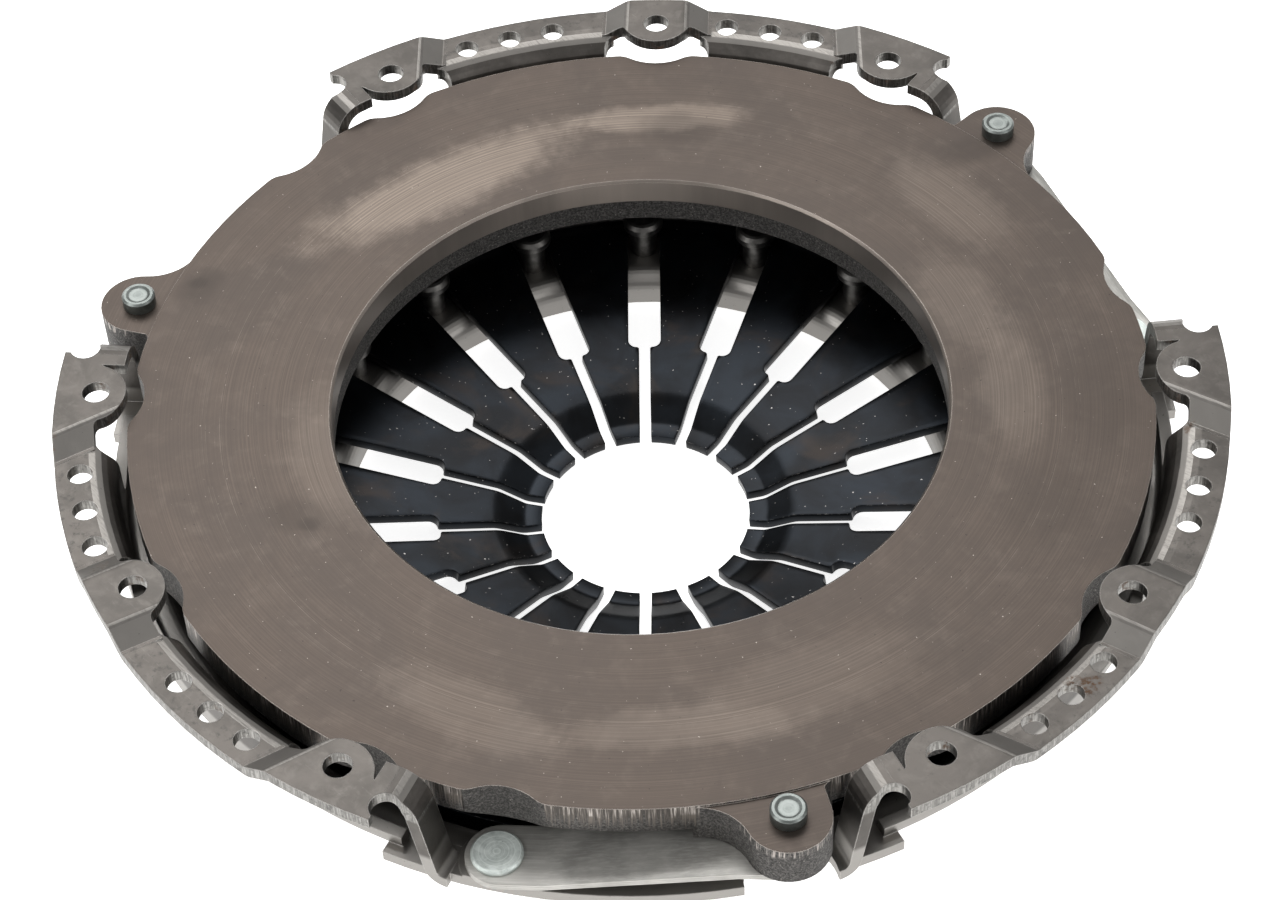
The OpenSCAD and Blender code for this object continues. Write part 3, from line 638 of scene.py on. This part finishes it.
def rivetFinish():
    mat, tree, shader = startFinish("satin rivet steel", 1.0, 0.4)
    c = rivetPaint
    where = placeInMm(tree)
    rounded, edge = edgeBreak(tree, c["edgeRadius"])
    cloud = grain(tree, where, c["cloudSize"], 4, 0.6)
    colour = tint(tree, fade(tree, cloud, 0.35, 0.7), c["dark"], c["light"])
    colour = tint(tree, calc(tree, "MULTIPLY", edge, 0.6), colour, c["edge"])
    feed(tree, colour, shader.inputs["Base Color"])
    high = grain(tree, where, c["grainSize"], 3, 0.6)
    feed(tree, relief(tree, high, c["depth"], rounded), shader.inputs["Normal"])
    return mat


ironMat = ironFinish()
coverMat = coverFinish()
springMat = springFinish()
# light scales the zinc colours: painted light makes the strap rivet heads 2.1 times lighter, against the
# shade of the plate's rim over them; the pins take 0.62 of them
pinMat = zincFinish("zinc pin", rings=0.11, depth=0.003, metallic=0.9, light=0.62)
headMat = zincFinish("zinc rivet head", rings=0.04, depth=0.012, metallic=0.3, light=2.1)
rivetMat = rivetFinish()
print("finishes made")

for name, node in nodes.items():
    if name == "cover":
        dress(node, coverMat)
    elif name == "pressure_plate":
        dress(node, ironMat)
    elif name.startswith("lug_rivet"):
        dress(node, pinMat)
    elif name.startswith("strap_rivet"):
        dress(node, headMat)
    elif name.startswith("fulcrum_rivet") or name.endswith("fulcrum_ring"):
        dress(node, rivetMat)
print("frame's own pieces dressed")


# Diaphragm spring: one slotted cone

springShape = {
    "fingers": 18,
    "outerR": 186, "tipR": 43.3, "thick": 4.4,
    "depth": 59.5,                # of the middle surface at the fulcrum
    "fulcrumR": 152.0,
    "cone": 10.6,                 # degrees
    "fingerBend": 17, "bendR": 14, "drop": 9,
    "tipAngle": 4, "tipBendR": 8, "tipRun": 6,
    "bendSteps": 7,
    "slitHalf": 2.4,
    "windowHalf": 7, "windowStart": 86, "windowCorner": 4, "windowEnd": 150.5,
    "columns": 10,                # of faces across one finger
    "rimRows": 6, "windowRows": 9, "fingerRows": 6, "cornerStep": 10,
    "slitGap": 0.5,               # between a window's last row and the slit's first
    "weld": 0.02,
    "edgeBreak": 0.45, "edgeAngle": 50, "sharpAngle": 35,
    "squashKeep": 0.455,
}


def springLine(s):
    # middle surface as (radius, height), from the outer edge in to the tip
    cone = math.radians(s["cone"])
    steep = cone + math.radians(s["fingerBend"])
    tip = math.radians(s["tipAngle"])
    bendRun = s["bendR"] * (math.sin(steep) - math.sin(cone))
    tipBendRun = s["tipBendR"] * (math.sin(steep) - math.sin(tip))
    inner = bendRun + s["drop"] * math.cos(steep) + tipBendRun + s["tipRun"] * math.cos(tip)
    coneEnd = s["tipR"] + inner
    z = -s["depth"] + (s["outerR"] - s["fulcrumR"]) * math.tan(cone)
    line = [(s["outerR"], z)]
    z -= (s["outerR"] - coneEnd) * math.tan(cone)
    r = coneEnd
    line.append((r, z))
    bends = ((s["bendR"], cone, steep, s["drop"]), (s["tipBendR"], steep, tip, s["tipRun"]))
    for radius, start, end, run in bends:
        r0, z0 = r, z
        for k in range(1, s["bendSteps"] + 1):
            a = start + (end - start) * k / s["bendSteps"]
            side = 1 if end > start else -1
            r = r0 - side * radius * (math.sin(a) - math.sin(start))
            z = z0 + side * radius * (math.cos(a) - math.cos(start))
            line.append((r, z))
        r -= run * math.cos(end)
        z -= run * math.sin(end)
        line.append((r, z))
    return line


def heightAt(line, r):
    # height of the middle surface at this radius
    for (r1, z1), (r2, z2) in zip(line, line[1:]):
        if r2 <= r <= r1:
            return z1 + (z2 - z1) * (r1 - r) / max(r1 - r2, 1e-6)
    return line[-1][1]


def slotHalf(s, r):
    # half the open width between two fingers at this radius
    corner, half, start = s["windowCorner"], s["windowHalf"], s["windowStart"]
    roundMiddle = s["windowEnd"] - half
    if r >= s["windowEnd"]:
        return 0
    if r > roundMiddle:
        return math.sqrt(half * half - (r - roundMiddle) ** 2)
    if r >= start + corner:
        return half
    if r >= start:
        return half - corner + math.sqrt(corner ** 2 - (start + corner - r) ** 2)
    return s["slitHalf"]


def springStations(s, line):
    # radii of the rows of points, closer together round the window's corners
    roundMiddle = s["windowEnd"] - s["windowHalf"]
    quarter = [math.radians(a) for a in range(0, 91, s["cornerStep"])]
    rim, window, finger = s["rimRows"], s["windowRows"], s["fingerRows"]
    rs = [s["outerR"] - k * (s["outerR"] - s["windowEnd"]) / rim for k in range(rim)]
    rs += [roundMiddle + s["windowHalf"] * math.cos(a) for a in quarter]
    inside = s["windowStart"] + s["windowCorner"]
    rs += [roundMiddle + (inside - roundMiddle) * k / window for k in range(1, window + 1)]
    rs += [inside - s["windowCorner"] * math.sin(a) for a in quarter[1:]]
    slitTop, coneEnd = s["windowStart"] - s["slitGap"], line[1][0]
    rs += [slitTop - (slitTop - coneEnd) * k / finger for k in range(finger + 1)]
    rs += [r for r, z in line[2:]]
    return rs


def makeSpring(s):
    # one flat finger sector after another, joined at the outer ring
    line = springLine(s)
    stations = springStations(s, line)
    half = math.pi / s["fingers"]
    cols = s["columns"]
    points, faces = [], []
    for i in range(s["fingers"]):
        middle = math.radians(90) + (2 * i + 1) * half
        base = len(points)
        for r in stations:
            reach = half - math.asin(slotHalf(s, r) / r)
            for k in range(cols + 1):
                a = middle + reach * (2 * k / cols - 1)
                points.append(Vector((r * math.cos(a), r * math.sin(a), heightAt(line, r))) * mm)
        for j in range(len(stations) - 1):
            for k in range(cols):
                a = base + j * (cols + 1) + k
                faces.append((a, a + 1, a + cols + 2, a + cols + 1))
    obj = addObject("slotted_spring", meshFrom("slotted_spring", points, faces))
    bm = bmesh.new()
    bm.from_mesh(obj.data)
    bmesh.ops.remove_doubles(bm, verts=bm.verts, dist=s["weld"] * mm)
    bm.to_mesh(obj.data)
    bm.free()
    thicken(obj, s, even=True)
    return obj


spring = makeSpring(springShape)
dress(spring, springMat)
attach(spring, "cover")
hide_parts("diaphragm_spring")
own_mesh(spring)
print("spring made,", len(spring.data.polygons), "faces")


# Leaf straps: three leaves a pack, flat at both rivets and sloped between them

strapShape = {
    "length": 106.3, "width": 26.6, "thick": 1.0, "leaves": 3,
    "pinR": 214.6, "rivetR": 208.5,         # distances of the lug's pin and the cover's rivet from the axis
    "pinAngle": 14.3,                       # of the pin, from the middle of its gap
    "endReach": 12,                         # from a rivet to the strap's end
    "seatZ": -40.5, "rise": 11, "flat": 17.3,
    "coverHole": 12.2, "lugHole": 10.2,
    "edgeBreak": 0.16, "edgeAngle": 50, "sharpAngle": 35,
    "rows": 8, "steps": 26, "roundSteps": 34,
    "rings": (0, 0.35, 0.7, 1),             # from a hole out to the leaf's edge
}


def strapFrame(s):
    # middle of a strap in its gap, and the angle at which it runs from the lug to the cover
    squares = s["pinR"] ** 2 + s["rivetR"] ** 2 - s["length"] ** 2
    spread = math.acos(squares / (2 * s["pinR"] * s["rivetR"]))
    pin = turned((s["pinR"], 0, 0), s["pinAngle"])
    rivet = turned((s["rivetR"], 0, 0), s["pinAngle"] - math.degrees(spread))
    run = rivet - pin
    return (pin + rivet) / 2, math.degrees(math.atan2(run.y, run.x))


def makeLeaf(s, number, layer, mat):
    half = s["length"] / 2
    wide = s["width"] / 2
    flatX = half - s["flat"]
    middle, heading = strapFrame(s)
    base = s["seatZ"] + (s["leaves"] - layer) * s["thick"] + s["thick"] / 2
    bm = bmesh.new()

    def inGap(x, y, z):
        return turned(middle + turned((x, y, z), heading), gapAngles[number - 1]) * mm

    def level(x):
        share = min(1, max(0, (flatX - x) / (2 * flatX)))
        return base + s["rise"] * share

    def corner(x, y):
        return bm.verts.new(inGap(x, y, level(x)))

    def outline(c, d):
        # from a rivet's middle to the leaf's edge, along a direction whose share towards the strap is c
        inset = wide - s["endReach"]
        arc = inset * c + math.sqrt((inset * c) ** 2 + wide ** 2 - inset ** 2)
        if arc * c <= inset:
            return arc
        return min(s["flat"] / c, wide / abs(d) if abs(d) > 1e-6 else 1e9)

    ends = {}
    for side in (-1, 1):
        hole = (s["coverHole"] if side > 0 else s["lugHole"]) / 2
        inward = [math.atan2(-wide + 2 * wide * k / s["rows"], s["flat"]) for k in range(s["rows"] + 1)]
        roundWay = 2 * math.pi - 2 * inward[-1]
        outward = [inward[-1] + roundWay * k / s["roundSteps"] for k in range(1, s["roundSteps"])]
        angles = inward + outward
        rings = []
        for share in s["rings"]:
            ring = []
            for a in angles:
                c, d = math.cos(a), math.sin(a)
                reach = hole + (outline(c, d) - hole) * share
                ring.append(corner(side * (half - reach * c), reach * d))
            rings.append(ring)
        for inner, outer in zip(rings, rings[1:]):
            for k in range(len(angles)):
                n = (k + 1) % len(angles)
                bm.faces.new((inner[k], inner[n], outer[n], outer[k]))
        ends[side] = rings[-1][:s["rows"] + 1]
    previous = ends[1]
    for j in range(1, s["steps"] + 1):
        x = flatX - 2 * flatX * j / s["steps"]
        if j == s["steps"]:
            row = ends[-1]
        else:
            row = [corner(x, -wide + 2 * wide * k / s["rows"]) for k in range(s["rows"] + 1)]
        for k in range(s["rows"]):
            bm.faces.new((previous[k], previous[k + 1], row[k + 1], row[k]))
        previous = row
    bmesh.ops.recalc_face_normals(bm, faces=bm.faces)
    name = f"leaf_{number}_{layer}"
    mesh = bpy.data.meshes.new(name)
    bm.to_mesh(mesh)
    bm.free()
    obj = addObject(name, mesh)
    thicken(obj, s, even=False)
    dress(obj, mat)
    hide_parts(f"strap_{number}_leaf_{layer}")
    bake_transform(obj)


for number in (1, 2, 3):
    strapMat = strapFinish(f"rolled strap steel {number}", gapAngles[number - 1] + strapFrame(strapShape)[1])
    for layer in (1, 2, 3):
        makeLeaf(strapShape, number, layer, strapMat)
print("straps made")
